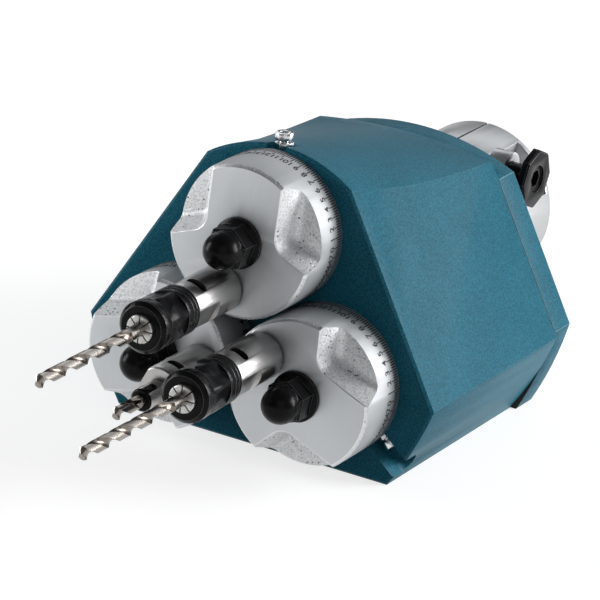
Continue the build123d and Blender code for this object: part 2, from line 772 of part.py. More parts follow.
with BuildPart() as stud_nuts:
    with BuildSketch(front_plane(0, 0, plate_rear)):
        with Locations(*disc_centres.values()):
            RegularPolygon(stud_nut_flats / 2, 6, major_radius=False)
            Circle(stud_tail_radius, mode=Mode.SUBTRACT)
    extrude(amount=-stud_nut_height)
stud_nuts.part.label = "stud_nuts"
export_step(stud_nuts.part, "parts/stud_nuts.step")

with BuildPart() as clamp_lock_nuts:
    for name, angle, turn, clamp in stations:
        with BuildSketch(radial_plane(disc_centres[name], clamp, clamp_floor)):
            with Locations((clamp_screw_height, 0)):
                RegularPolygon(lock_nut_flats / 2, 6, major_radius=False)
                Circle(clamp_screw_radius + running_fit, mode=Mode.SUBTRACT)
        extrude(amount=lock_nut_height)
clamp_lock_nuts.part.label = "clamp_lock_nuts"
export_step(clamp_lock_nuts.part, "parts/clamp_lock_nuts.step")

# Pieces that each station has
nose_start = disc_height + nose_gap
dome_start = disc_height + dome_shoulder
scallop_far_along = -2 * disc_radius
scallop_far_aside = 2 * disc_radius
scallop_wall_along = (scallop_corner_along + (scallop_far_aside - scallop_corner_aside)
                      / math.tan(math.radians(scallop_wall_angle)))
for name, angle, turn, clamp in stations:
    disc_x, disc_z = disc_centres[name]
    spin_x, spin_z = spindle_centres[name]

    # Idler gear, with a tooth gap towards the sun gear
    idler_phase = angle + 180.0 + 180.0 / idler_teeth
    with BuildPart() as idler_gear:
        with BuildSketch(front_plane(disc_x, disc_z, idler_front)):
            with BuildLine():
                Polyline(*gear_outline(idler_teeth, idler_phase), close=True)
            make_face()
            Circle(bush_radius + running_fit, mode=Mode.SUBTRACT)
        extrude(amount=-idler_width)
    idler_gear.part.label = "idler_gear_" + name
    export_step(idler_gear.part, "parts/idler_gear_" + name + ".step")

    # Eccentric disc with its spigot, stud hole, bearing bore and two cast scallops
    with BuildPart() as eccentric_disc:
        with BuildSketch(front_plane(disc_x, disc_z, 0, turn)):
            Circle(disc_radius)
        extrude(amount=disc_height)
        chamfer(eccentric_disc.faces().sort_by(Axis.Y)[0].edges(), disc_edge)
        with BuildSketch(front_plane(disc_x, disc_z, 0, turn)):
            Circle(spigot_radius)
        extrude(amount=-spigot_length)
        for side in (-1, 1):
            with BuildSketch(front_plane(disc_x, disc_z, disc_height, turn + scallop_turn)):
                with BuildLine():
                    FilletPolyline((scallop_far_along, side * scallop_corner_aside),
                                   (scallop_corner_along, side * scallop_corner_aside),
                                   (scallop_wall_along, side * scallop_far_aside), radius=scallop_corner)
                    Polyline((scallop_wall_along, side * scallop_far_aside),
                             (scallop_far_along, side * scallop_far_aside),
                             (scallop_far_along, side * scallop_corner_aside))
                make_face()
            extrude(amount=-scallop_depth, taper=scallop_taper, mode=Mode.SUBTRACT)
        floor_y = front_y - disc_height + scallop_depth
        floors = eccentric_disc.faces().filter_by(Axis.Y).filter_by_position(
            Axis.Y, floor_y - running_fit, floor_y + running_fit)
        fillet(floors.edges().filter_by(within_rim), scallop_floor_round)
        face_edges = eccentric_disc.faces().sort_by(Axis.Y)[0].outer_wire().edges()
        fillet(face_edges.filter_by(within_rim), scallop_crest_round)
        with BuildSketch(front_plane(disc_x, disc_z, disc_height, turn)):
            Circle(stud_radius + running_fit)
            with Locations((spindle_offset, 0)):
                Circle(shaft_hole_radius)
        extrude(amount=-disc_height - spigot_length, mode=Mode.SUBTRACT)
        with BuildSketch(front_plane(disc_x, disc_z, disc_height, turn)):
            with Locations((spindle_offset, 0)):
                Circle(cup_radius)
        extrude(amount=rear_cup_start - disc_height, mode=Mode.SUBTRACT)
    eccentric_disc.part.label = "eccentric_disc_" + name
    export_step(eccentric_disc.part, "parts/eccentric_disc_" + name + ".step")

    # Needle cups pressed in the disc, and the rollers with their cage rings
    cup_starts = (front_cup_end - cup_length, rear_cup_start)
    with BuildPart() as needle_cups:
        for start in cup_starts:
            with BuildSketch(front_plane(spin_x, spin_z, start)):
                Circle(cup_radius)
                Circle(cup_bore_radius, mode=Mode.SUBTRACT)
            extrude(amount=cup_length)
    needle_cups.part.label = "needle_cups_" + name
    export_step(needle_cups.part, "parts/needle_cups_" + name + ".step")

    with BuildPart() as needle_rollers:
        for start in cup_starts:
            roller_start = start + (cup_length - needle_length) / 2
            with BuildSketch(front_plane(spin_x, spin_z, roller_start)):
                with PolarLocations(needle_circle, needle_count):
                    Circle(needle_radius)
            extrude(amount=needle_length)
            for ring_start in (roller_start - cage_width, roller_start + needle_length):
                with BuildSketch(front_plane(spin_x, spin_z, ring_start)):
                    Circle(cage_outer_radius)
                    Circle(cage_inner_radius, mode=Mode.SUBTRACT)
                extrude(amount=cage_width)
    needle_rollers.part.label = "needle_rollers_" + name
    export_step(needle_rollers.part, "parts/needle_rollers_" + name + ".step")

    # Spindle: tail for the pinion, shaft in the needles, nose with taper socket, slot and spanner flats
    with BuildPart() as spindle:
        with BuildSketch(turning_plane(spin_x, spin_z)):
            with BuildLine():
                Polyline((0, spindle_end), (spindle_tail_radius, spindle_end),
                         (spindle_tail_radius, spindle_step), (spindle_shaft_radius, spindle_step),
                         (spindle_shaft_radius, nose_start),
                         (nose_radius, nose_start), (nose_radius, nose_end - nose_edge),
                         (nose_radius - nose_edge, nose_end), (socket_mouth_radius, nose_end),
                         (socket_floor_radius, socket_floor), (0, socket_floor), close=True)
            make_face()
        revolve(axis=turning_axis(spin_x, spin_z))
        with BuildSketch(radial_plane((spin_x, spin_z), slot_angle, 0)):
            with Locations((slot_height, 0)):
                SlotOverall(slot_span, slot_width, rotation=90)
        extrude(amount=2 * nose_radius, both=True, mode=Mode.SUBTRACT)
        for flat in (flat_angle, flat_angle + 180):
            with BuildSketch(radial_plane((spin_x, spin_z), flat, flats_across / 2)):
                with Locations((nose_end, 0)):
                    Rectangle(flat_length, 3 * nose_radius, align=(Align.MAX, Align.CENTER))
            extrude(amount=nose_radius, mode=Mode.SUBTRACT)
    spindle.part.label = "spindle_" + name
    export_step(spindle.part, "parts/spindle_" + name + ".step")

    # Pinion, its teeth in the gaps of the idler gear
    lag = (turn - idler_phase) % (360.0 / idler_teeth)
    pinion_phase = turn + 180.0 + lag * idler_teeth / pinion_teeth + 180.0 / pinion_teeth
    with BuildPart() as pinion:
        with BuildSketch(front_plane(spin_x, spin_z, pinion_front)):
            with BuildLine():
                Polyline(*gear_outline(pinion_teeth, pinion_phase), close=True)
            make_face()
            Circle(spindle_tail_radius, mode=Mode.SUBTRACT)
        extrude(amount=-pinion_width)
    pinion.part.label = "pinion_" + name
    export_step(pinion.part, "parts/pinion_" + name + ".step")

    # Dome nut on the stud
    with BuildPart() as dome_nut:
        with BuildSketch(front_plane(disc_x, disc_z, disc_height, turn)):
            RegularPolygon(nut_flats / 2, 6, major_radius=False)
        extrude(amount=nut_hex_top)
        chamfer(dome_nut.faces().sort_by(Axis.Y)[0].outer_wire().edges(), nut_edge)
        with BuildSketch(turning_plane(disc_x, disc_z)):
            with BuildLine():
                Polyline((0, dome_start + dome_radius), (0, disc_height), (nut_flange_radius, disc_height),
                         (nut_flange_radius, disc_height + nut_flange_edge),
                         (dome_radius, disc_height + nut_flange_height), (dome_radius, dome_start))
                RadiusArc((dome_radius, dome_start), (0, dome_start + dome_radius), -dome_radius)
            make_face()
        revolve(axis=turning_axis(disc_x, disc_z))
        with BuildSketch(front_plane(disc_x, disc_z, disc_height)):
            Circle(stud_radius + running_fit)
        extrude(amount=nut_bore_depth, mode=Mode.SUBTRACT)
    dome_nut.part.label = "dome_nut_" + name
    export_step(dome_nut.part, "parts/dome_nut_" + name + ".step")

    # Disc clamp screw, pointing at the spigot from its pocket
    with BuildPart() as disc_clamp_screw:
        with BuildSketch(radial_plane((disc_x, disc_z), clamp, clamp_head_base)):
            with Locations((clamp_screw_height, 0)):
                Circle(clamp_head_radius)
        extrude(amount=clamp_head_height)
        with BuildSketch(radial_plane((disc_x, disc_z), clamp, spigot_radius + clamp_tip_gap)):
            with Locations((clamp_screw_height, 0)):
                Circle(clamp_screw_radius)
        extrude(amount=clamp_head_base - spigot_radius - clamp_tip_gap)
        with BuildSketch(radial_plane((disc_x, disc_z), clamp, clamp_head_base + clamp_head_height)):
            with Locations((clamp_screw_height, 0)):
                RegularPolygon(clamp_head_key / 2, 6, major_radius=False)
        extrude(amount=-clamp_head_key_depth, mode=Mode.SUBTRACT)
    disc_clamp_screw.part.label = "disc_clamp_screw_" + name
    export_step(disc_clamp_screw.part, "parts/disc_clamp_screw_" + name + ".step")

# Taper shank of a tool, as it lies in a spindle's socket
shank_back = socket_floor + shank_gap
socket_slope = (socket_mouth_radius - socket_floor_radius) / (nose_end - socket_floor)
shank_back_radius = socket_floor_radius + socket_slope * (shank_back - socket_floor)
chuck_start = nose_end + chuck_gap

# Collet chucks on the top and right spindles
collet_neck = chuck_end - collet_land
holder_screw_height = holder_end - holder_screw_inset
for name in ("top", "right"):
    spin_x, spin_z = spindle_centres[name]
    with BuildPart() as collet_chuck:
        with BuildSketch(turning_plane(spin_x, spin_z)):
            with BuildLine():
                Polyline((chuck_bore_radius, shank_back), (shank_back_radius, shank_back),
                         (socket_mouth_radius, nose_end), (socket_mouth_radius, chuck_start),
                         (chuck_flange_radius, chuck_start), (chuck_flange_radius, chuck_flange_end),
                         (chuck_thread_radius, chuck_flange_end), (chuck_thread_radius, chuck_end),
                         (collet_radius, chuck_end), (collet_radius, collet_neck),
                         (collet_cone_end_radius, collet_back), (chuck_bore_radius, collet_back),
                         close=True)
            make_face()
            for groove in chuck_groove_places:
                with Locations((chuck_flange_radius, chuck_start + groove)):
                    Rectangle(2 * chuck_groove_depth, chuck_groove_width, mode=Mode.SUBTRACT)
        revolve(axis=turning_axis(spin_x, spin_z))
    collet_chuck.part.label = "collet_chuck_" + name
    export_step(collet_chuck.part, "parts/collet_chuck_" + name + ".step")

    with BuildPart() as collet_nut:
        with BuildSketch(front_plane(spin_x, spin_z, nut_start, nut_turn)):
            RegularPolygon(nut_hex_flats / 2, 6, major_radius=False)
            Circle(nut_turned_radius, mode=Mode.INTERSECT)
        extrude(amount=nut_hex_end - nut_start)
        with BuildSketch(turning_plane(spin_x, spin_z)):
            with BuildLine():
                Polyline((nut_mouth_radius, nut_hex_end),
                         (nut_collar_radius - nut_collar_edge, nut_hex_end),
                         (nut_collar_radius, nut_hex_end + nut_collar_edge),
                         (nut_collar_radius, nut_front - nut_front_edge),
                         (nut_collar_radius - nut_front_edge, nut_front),
                         (nut_mouth_radius, nut_front), close=True)
            make_face()
        revolve(axis=turning_axis(spin_x, spin_z))
        with BuildSketch(front_plane(spin_x, spin_z, nut_start)):
            Circle(chuck_thread_radius)
        extrude(amount=chuck_end + chuck_gap - nut_start, mode=Mode.SUBTRACT)
    collet_nut.part.label = "collet_nut_" + name
    export_step(collet_nut.part, "parts/collet_nut_" + name + ".step")

    with BuildPart() as collet:
        with BuildSketch(turning_plane(spin_x, spin_z)):
            with BuildLine():
                Polyline((drill_radius, collet_back), (collet_cone_end_radius, collet_back),
                         (collet_radius, collet_neck), (collet_radius, collet_face - collet_edge),
                         (collet_radius - collet_edge, collet_face), (drill_radius, collet_face),
                         close=True)
            make_face()
        revolve(axis=turning_axis(spin_x, spin_z))
        with BuildSketch(front_plane(spin_x, spin_z, collet_face)):
            with PolarLocations((drill_radius + collet_radius) / 2, collet_slits):
                Rectangle(2 * collet_radius - drill_radius, collet_slit_width)
            Circle(drill_radius - collet_slit_overcut, mode=Mode.SUBTRACT)
        extrude(amount=-collet_slit_depth, mode=Mode.SUBTRACT)
    collet.part.label = "collet_" + name
    export_step(collet.part, "parts/collet_" + name + ".step")

# Tool holder of the left spindle, with its set screw
spin_x, spin_z = spindle_centres["left"]
with BuildPart() as tool_holder:
    with BuildSketch(turning_plane(spin_x, spin_z)):
        with BuildLine():
            Polyline((drill_radius, shank_back), (shank_back_radius, shank_back),
                     (socket_mouth_radius, nose_end), (socket_mouth_radius, chuck_start),
                     (holder_radius, chuck_start), (holder_radius, holder_end - holder_edge),
                     (holder_radius - holder_edge, holder_end), (drill_radius, holder_end), close=True)
        make_face()
    revolve(axis=turning_axis(spin_x, spin_z))
    with BuildSketch(radial_plane((spin_x, spin_z), slot_angle, 0)):
        with Locations((holder_screw_height, 0)):
            Circle(holder_screw_radius)
    extrude(amount=2 * holder_radius, mode=Mode.SUBTRACT)
tool_holder.part.label = "tool_holder"
export_step(tool_holder.part, "parts/tool_holder.step")

with BuildPart() as holder_set_screw:
    with BuildSketch(radial_plane((spin_x, spin_z), slot_angle, drill_radius)):
        with Locations((holder_screw_height, 0)):
            Circle(holder_screw_radius)
    extrude(amount=holder_radius - drill_radius)
    with BuildSketch(radial_plane((spin_x, spin_z), slot_angle, holder_radius)):
        with Locations((holder_screw_height, 0)):
            RegularPolygon(holder_screw_key / 2, 6, major_radius=False)
    extrude(amount=-holder_screw_key_depth, mode=Mode.SUBTRACT)
holder_set_screw.part.label = "holder_set_screw"
export_step(holder_set_screw.part, "parts/holder_set_screw.step")

# Twist drills: two long ones and a stub, their flutes made of half turns that repeat
drills = [("twist_drill_top", "top", drill_back, flute_start, flute_end, flute_half_turns),
          ("twist_drill_right", "right", drill_back, flute_start, flute_end, flute_half_turns),
          ("stub_drill", "left", stub_back, stub_flute_start, stub_end, stub_half_turns)]
for label, name, back, start, end, half_turns in drills:
    spin_x, spin_z = spindle_centres[name]
    twist_from = start - flute_overlap
    half_pitch = (end - twist_from) / half_turns
    with BuildPart() as twist_drill:
        with BuildSketch(front_plane(spin_x, spin_z, back)):
            Circle(drill_radius)
        extrude(amount=start - back)
        for half_turn in range(half_turns):
            height = twist_from + half_turn * half_pitch
            with BuildSketch(front_plane(spin_x, spin_z, height, flute_turn), mode=Mode.PRIVATE) as flutes:
                Circle(land_radius)
                with Locations((flute_centre, 0), (-flute_centre, 0)):
                    Circle(flute_radius, mode=Mode.SUBTRACT)
            add(Solid.extrude_linear_with_rotation(flutes.sketch.face(), (spin_x, front_y - height, spin_z),
                                                   (0, -half_pitch, 0), 180.0))
        with BuildSketch(turning_plane(spin_x, spin_z)):
            with BuildLine():
                Polyline((0, end - point_length), (point_radius, end - point_length), (point_radius, end),
                         (0, end + point_length), close=True)
            make_face()
        revolve(axis=turning_axis(spin_x, spin_z))
    twist_drill.part.label = label
    export_step(twist_drill.part, "parts/" + label + ".step")
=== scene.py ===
import json
import math

import bmesh
import bpy
from mathutils import Matrix, Vector

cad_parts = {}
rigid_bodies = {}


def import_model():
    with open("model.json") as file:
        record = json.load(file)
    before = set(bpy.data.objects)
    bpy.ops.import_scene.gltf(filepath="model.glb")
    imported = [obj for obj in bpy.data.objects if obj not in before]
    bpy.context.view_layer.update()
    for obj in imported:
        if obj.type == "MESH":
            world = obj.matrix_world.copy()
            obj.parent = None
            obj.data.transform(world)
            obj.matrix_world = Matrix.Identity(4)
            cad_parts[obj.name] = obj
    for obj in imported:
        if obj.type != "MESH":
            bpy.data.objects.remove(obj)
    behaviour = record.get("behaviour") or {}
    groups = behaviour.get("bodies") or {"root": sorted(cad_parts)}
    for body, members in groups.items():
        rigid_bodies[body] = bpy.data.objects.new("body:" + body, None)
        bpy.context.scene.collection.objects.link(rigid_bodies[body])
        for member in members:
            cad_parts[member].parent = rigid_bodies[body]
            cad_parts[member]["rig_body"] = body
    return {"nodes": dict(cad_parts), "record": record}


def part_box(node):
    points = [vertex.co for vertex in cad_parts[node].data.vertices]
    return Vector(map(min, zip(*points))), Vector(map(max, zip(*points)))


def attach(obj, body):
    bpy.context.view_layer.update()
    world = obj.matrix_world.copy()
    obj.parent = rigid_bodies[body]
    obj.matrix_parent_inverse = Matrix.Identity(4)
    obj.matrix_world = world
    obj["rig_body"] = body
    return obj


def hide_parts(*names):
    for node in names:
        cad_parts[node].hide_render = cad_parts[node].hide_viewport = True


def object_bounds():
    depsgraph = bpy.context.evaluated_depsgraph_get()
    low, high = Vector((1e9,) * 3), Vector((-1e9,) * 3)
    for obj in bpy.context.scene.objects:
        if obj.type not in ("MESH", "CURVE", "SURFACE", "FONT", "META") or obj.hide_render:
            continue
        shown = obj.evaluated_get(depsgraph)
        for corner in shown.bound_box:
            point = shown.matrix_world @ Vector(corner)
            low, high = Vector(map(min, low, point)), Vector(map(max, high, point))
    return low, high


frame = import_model()
cad_box = [list(corner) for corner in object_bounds()]
scene = bpy.context.scene

# Main housing
# One heavy casting with an arched top and flat flanks, machined and then powder coated in satin teal.
# The coat has a fine orange peel and clouds a little, and its broken edges are painted a lighter teal as a
# painted highlight.


class Wire:
    """A shader value: sums on it add Math nodes, and node() adds any other node."""

    def __init__(self, tree, socket=None):
        self.tree = tree
        self.socket = socket

    def node(self, kind, settings=None, inputs=None, output=0):
        made = self.tree.nodes.new("ShaderNode" + kind)
        for name, value in (settings or {}).items():
            setattr(made, name, value)
        for name, value in (inputs or {}).items():
            if isinstance(value, Wire):
                self.tree.links.new(value.socket, made.inputs[name])
            else:
                made.inputs[name].default_value = value
        return Wire(self.tree, made.outputs[output])

    def math(self, operation, first, second):
        return self.node("Math", {"operation": operation}, {0: first, 1: second})

    def __add__(self, other):
        return self.math("ADD", self, other)

    __radd__ = __add__

    def __sub__(self, other):
        return self.math("SUBTRACT", self, other)

    def __mul__(self, other):
        return self.math("MULTIPLY", self, other)

    __rmul__ = __mul__

    def noise(self, scale, detail=2.0, stretch=(1.0, 1.0, 1.0)):
        """Noise on these coordinates, with the given number of grains to a metre."""
        grid = self.node("Mapping", None, {"Vector": self, "Scale": stretch})
        return self.node("TexNoise", None, {"Vector": grid, "Scale": scale, "Detail": detail})

    def between(self, low, high):
        """This value from low to high, eased onto 0 to 1."""
        spread = {"From Min": low, "From Max": high, "Value": self}
        return self.node("MapRange", {"interpolation_type": "SMOOTHSTEP"}, spread)

    def tint(self, first, second):
        """A colour from the first to the second as this value goes from 0 to 1."""
        return self.node("Mix", {"data_type": "RGBA"}, {0: self, 6: (*first, 1), 7: (*second, 1)}, 2)

    def relief(self, depth, strength=1.0):
        """A bump of that depth in metres."""
        return self.node("Bump", None, {"Height": self, "Distance": depth, "Strength": strength})


def new_finish(name, sockets, shade):
    """A material whose fixed sockets are given and whose varying ones shade() returns for a place."""
    material = bpy.data.materials.new(name)
    material.use_nodes = True
    tree = material.node_tree
    place = Wire(tree).node("TexCoord", None, None, "Object")
    shader = tree.nodes["Principled BSDF"]
    for socket, value in sockets.items():
        shader.inputs[socket].default_value = value
    for socket, value in shade(place).items():
        tree.links.new(value.socket, shader.inputs[socket])
    return material


def satin_teal(place):
    cloud = place.noise(28.0, detail=4.0)
    speck = place.noise(900.0, detail=3.0)
    peel = place.noise(1500.0)
    tone = cloud.between(0.3, 0.7) * 0.2 + speck.between(0.36, 0.64) * 0.8
    return {
        "Base Color": tone.tint((0.0045, 0.085, 0.129), (0.024, 0.172, 0.25)),
        "Roughness": 0.36 + 0.14 * speck,
        "Normal": (peel + speck).relief(0.00012, strength=0.7),
    }


# Lighter teal for the broken edges stands for light catching them: a painted highlight.
def rubbed_teal(place):
    edge_mottle = place.noise(350.0, detail=3.0)
    return {
        "Base Color": edge_mottle.tint((0.05, 0.21, 0.27), (0.2, 0.38, 0.44)),
        "Roughness": 0.3 + 0.15 * edge_mottle,
    }


teal_paint = new_finish("satin_teal_paint", {"Specular IOR Level": 0.11}, satin_teal)
teal_front = new_finish("dull_teal_paint", {"Specular IOR Level": 0.08}, satin_teal)
teal_painted_edge_highlight = new_finish("teal_edge_painted_highlight", {"Specular IOR Level": 0.4}, rubbed_teal)

weld_gap = 1e-6
flat_angle = math.radians(0.4)
sharp_angle = math.radians(28.0)
edge_steps = 2


def settled(piece):
    """The piece's mesh, with its modifiers or its text made real."""
    return bpy.data.meshes.new_from_object(piece.evaluated_get(bpy.context.evaluated_depsgraph_get()))


def dress(node, name, finishes, edge, zone=None):
    """A CAD piece with its sharp edges broken to that width, shown in place of the bare piece.

    zone() may give the finish of a face by its number, and the last finish goes on the broken edges."""
    source = frame["nodes"][node]
    piece = bpy.data.objects.new(name, source.data.copy())
    scene.collection.objects.link(piece)
    shape = bmesh.new()
    shape.from_mesh(piece.data)
    bmesh.ops.remove_doubles(shape, verts=shape.verts, dist=weld_gap)
    bmesh.ops.dissolve_limit(shape, angle_limit=flat_angle, verts=shape.verts, edges=shape.edges,
                             use_dissolve_boundaries=False)
    for face in shape.faces:
        face.smooth = True
        face.material_index = zone(face) if zone else 0
    piece.data.materials.clear()
    for finish in finishes:
        piece.data.materials.append(finish)
    shape.to_mesh(piece.data)
    shape.free()
    bevel = piece.modifiers.new("broken_edges", "BEVEL")
    bevel.width = edge
    bevel.segments = edge_steps
    bevel.limit_method = "ANGLE"
    bevel.angle_limit = sharp_angle
    bevel.harden_normals = True
    bevel.use_clamp_overlap = True
    bevel.material = len(finishes) - 1
    broken = settled(piece)
    piece.modifiers.clear()
    piece.data = broken
    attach(piece, source["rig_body"])
    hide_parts(node)


front_slope = -0.9


def housing_zone(face):
    """The front face is duller than the rest."""
    return 1 if face.normal.y < front_slope else 0


dress("main_housing", "housing_casting", [teal_paint, teal_front, teal_painted_edge_highlight], edge=0.0006,
      zone=housing_zone)

# Rear cover and gasket
# A second casting closes the back of the housing over a thin gasket, held by black cap screws. It has
# the same coat, and its lower flanks come out past the housing.


def black_skin(place):
    patch = place.noise(160.0, detail=3.0)
    pores = place.noise(1900.0)
    return {
        "Base Color": patch.tint((0.004, 0.004, 0.0045), (0.009, 0.009, 0.01)),
        "Roughness": 0.16 + 0.14 * patch,
        "Normal": pores.relief(0.00003, strength=0.5),
    }


# Grey for the broken edges of the black parts stands for light catching them: a painted highlight.
def worn_black(place):
    edge_mottle = place.noise(900.0, detail=3.0)
    return {
        "Base Color": edge_mottle.tint((0.02, 0.02, 0.022), (0.11, 0.11, 0.115)),
        "Roughness": 0.2 + 0.15 * edge_mottle,
    }


def pressed_fibre(place):
    fibre = place.noise(1500.0, detail=4.0)
    return {
        "Base Color": fibre.tint((0.012, 0.012, 0.012), (0.035, 0.034, 0.032)),
        "Roughness": 0.75 + 0.2 * fibre,
    }


black_oxide = new_finish("black_oxide", {"Specular IOR Level": 0.09}, black_skin)
black_painted_edge_highlight = new_finish("black_oxide_painted_edge_highlight", {"Specular IOR Level": 0.6}, worn_black)
gasket_black = new_finish("gasket_fibre", {}, pressed_fibre)

dress("rear_cover", "cover_casting", [teal_paint, teal_painted_edge_highlight], edge=0.0004)
dress("cover_gasket", "cover_seal_sheet", [gasket_black], edge=0.00005)
dress("cover_screws", "cover_cap_screws", [black_oxide, black_painted_edge_highlight], edge=0.0003)

# Split clamp collar
# A ring turned from bright steel clamps on the drilling machine's quill. A slit, a saw cut and a black
# cross screw with a large flat head, in a milled notch, let it close.


def fine_turned(place):
    """Fine rings round the Y axis, with a soft cloud of polish."""
    rings = place.noise(40.0, detail=3.0, stretch=(1.0, 60.0, 1.0))
    polish = place.noise(25.0)
    return {
        "Base Color": polish.tint((0.46, 0.47, 0.48), (0.54, 0.55, 0.56)),
        "Roughness": 0.28 + 0.14 * rings,
        "Normal": rings.relief(0.00002, strength=0.35),
    }


# Near-black steel for the walls of slits and slots: painted shade inside them.
def oiled_cut(place):
    tone_cloud = place.noise(300.0)
    return {
        "Base Color": tone_cloud.tint((0.02, 0.02, 0.02), (0.06, 0.058, 0.055)),
        "Roughness": 0.4 + 0.2 * tone_cloud,
    }


bright_collar = new_finish("turned_collar_steel", {"Metallic": 1.0}, fine_turned)
painted_slot_shade = new_finish("slit_steel_painted_shade", {"Metallic": 1.0}, oiled_cut)
slit_reach = 0.002
slit_slope = 0.95


def collar_zone(face):
    """The walls of the slit are painted near black: painted shade in the slit."""
    by_slit = abs(face.calc_center_median().x) < slit_reach
    return 1 if by_slit and abs(face.normal.x) > slit_slope else 0


dress("clamp_collar", "split_collar", [bright_collar, painted_slot_shade, bright_collar], edge=0.0003,
      zone=collar_zone)
dress("collar_clamp_screw", "collar_cross_screw", [black_oxide, black_painted_edge_highlight], edge=0.0004)
dress("collar_bolts", "collar_root_bolts", [black_oxide, black_painted_edge_highlight], edge=0.0003)

# Gear train and bearings
# Hobbed steel gears, polished bearing rings and balls, bronze bushes and an iron bearing plate, all closed
# in by the housing and its cover. They stay as the CAD made them, and each CAD piece gets its slot's finish.


def hobbed_steel(place):
    tone_cloud = place.noise(120.0, detail=3.0)
    lines = place.noise(60.0, stretch=(1.0, 30.0, 1.0))
    return {
        "Base Color": tone_cloud.tint((0.34, 0.34, 0.35), (0.48, 0.47, 0.46)),
        "Roughness": 0.25 + 0.2 * lines,
        "Normal": lines.relief(0.00002, strength=0.4),
    }


def polished_steel(place):
    tone_cloud = place.noise(200.0)
    return {
        "Base Color": tone_cloud.tint((0.68, 0.68, 0.69), (0.8, 0.8, 0.81)),
        "Roughness": 0.08 + 0.1 * tone_cloud,
    }


def turned_bronze(place):
    tone_cloud = place.noise(150.0, detail=3.0)
    return {
        "Base Color": tone_cloud.tint((0.5, 0.3, 0.12), (0.68, 0.45, 0.22)),
        "Roughness": 0.25 + 0.2 * tone_cloud,
    }


def machined_iron(place):
    grain = place.noise(700.0, detail=3.0)
    return {
        "Base Color": grain.tint((0.13, 0.13, 0.14), (0.26, 0.26, 0.27)),
        "Roughness": 0.4 + 0.2 * grain,
        "Normal": grain.relief(0.00003, strength=0.5),
    }


def ground_steel(place):
    rings = place.noise(12.0, detail=3.0, stretch=(1.0, 90.0, 1.0))
    tone_cloud = place.noise(60.0, detail=3.0)
    return {
        "Base Color": tone_cloud.tint((0.38, 0.372, 0.365), (0.47, 0.46, 0.452)),
        "Roughness": 0.28 + 0.08 * rings,
        "Normal": rings.relief(0.000004, strength=0.5),
    }


def plated(place):
    tone_cloud = place.noise(500.0, detail=3.0)
    return {
        "Base Color": tone_cloud.tint((0.6, 0.61, 0.62), (0.76, 0.77, 0.78)),
        "Roughness": 0.14 + 0.14 * tone_cloud,
    }


def ground_flutes(place):
    lines = place.noise(70.0, detail=3.0, stretch=(1.0, 50.0, 1.0))
    steel_cloud = place.noise(60.0)
    return {
        "Base Color": steel_cloud.tint((0.23, 0.206, 0.186), (0.35, 0.325, 0.3)),
        "Roughness": 0.16 + 0.14 * lines,
        "Normal": lines.relief(0.00002, strength=0.3),
    }


def ground_collet(place):
    tone_cloud = place.noise(400.0, detail=3.0)
    return {
        "Base Color": tone_cloud.tint((0.42, 0.415, 0.4), (0.56, 0.55, 0.54)),
        "Roughness": 0.3 + 0.15 * tone_cloud,
    }


gear_steel = new_finish("hobbed_gear_steel", {"Metallic": 1.0}, hobbed_steel)
bearing_steel = new_finish("polished_bearing_steel", {"Metallic": 1.0}, polished_steel)
bush_bronze = new_finish("turned_bush_bronze", {"Metallic": 1.0}, turned_bronze)
plate_iron = new_finish("machined_plate_iron", {"Metallic": 0.8}, machined_iron)
spindle_steel = new_finish("ground_spindle_steel", {"Metallic": 1.0}, ground_steel)
bright_screw = new_finish("plated_screw_steel", {"Metallic": 1.0}, plated)
drill_steel = new_finish("ground_drill_steel", {"Metallic": 1.0}, ground_flutes)
collet_steel = new_finish("ground_collet_steel", {"Metallic": 1.0}, ground_collet)

slot_finishes = {
    "gear_steel": gear_steel,
    "bearing_steel": bearing_steel,
    "bush_bronze": bush_bronze,
    "plate_iron": plate_iron,
    "gasket_black": gasket_black,
    "black_oxide": black_oxide,
    "bright_screw": bright_screw,
    "spindle_steel": spindle_steel,
    "drill_steel": drill_steel,
    "collet_steel": collet_steel,
    "teal_paint": teal_paint,
    "bright_collar": bright_collar,
    "turned_aluminium": bright_collar,
}
for row in frame["record"]["subparts"]:
    node = frame["nodes"][row["node"]]
    node.data.materials.clear()
    node.data.materials.append(slot_finishes[row["material_slot"]])

# Eccentric discs
# Aluminium castings turned on the face and rim. Two scallops on each keep their rough cast skin, so that a
# hand can turn the disc. Their crests and the discs' broken edges are polished and painted lighter, a painted
# highlight. Numbers and lines round the rim show the setting.
disc_places = {}
front_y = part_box("main_housing")[0].y
for name in ("top", "right", "left"):
    low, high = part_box("eccentric_disc_" + name)
    disc_places[name] = Vector(((low.x + high.x) / 2, front_y, (low.z + high.z) / 2))
disc_radius = (high.x - low.x) / 2
disc_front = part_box("eccentric_disc_top")[0].y
scallop_rim = 0.0004
flat_skin = 0.00002
crest_depth = 0.0009
rim_slope = 0.5
ring_grains = 3000.0
face_turning = ((0.49, 0.51, 0.525), (0.61, 0.63, 0.645), 0.42)
# The rim's tones are darker than the face's: painted shade on the side of the disc.
rim_turning_painted_shade = ((0.42, 0.435, 0.45), (0.52, 0.535, 0.55), 0.48)


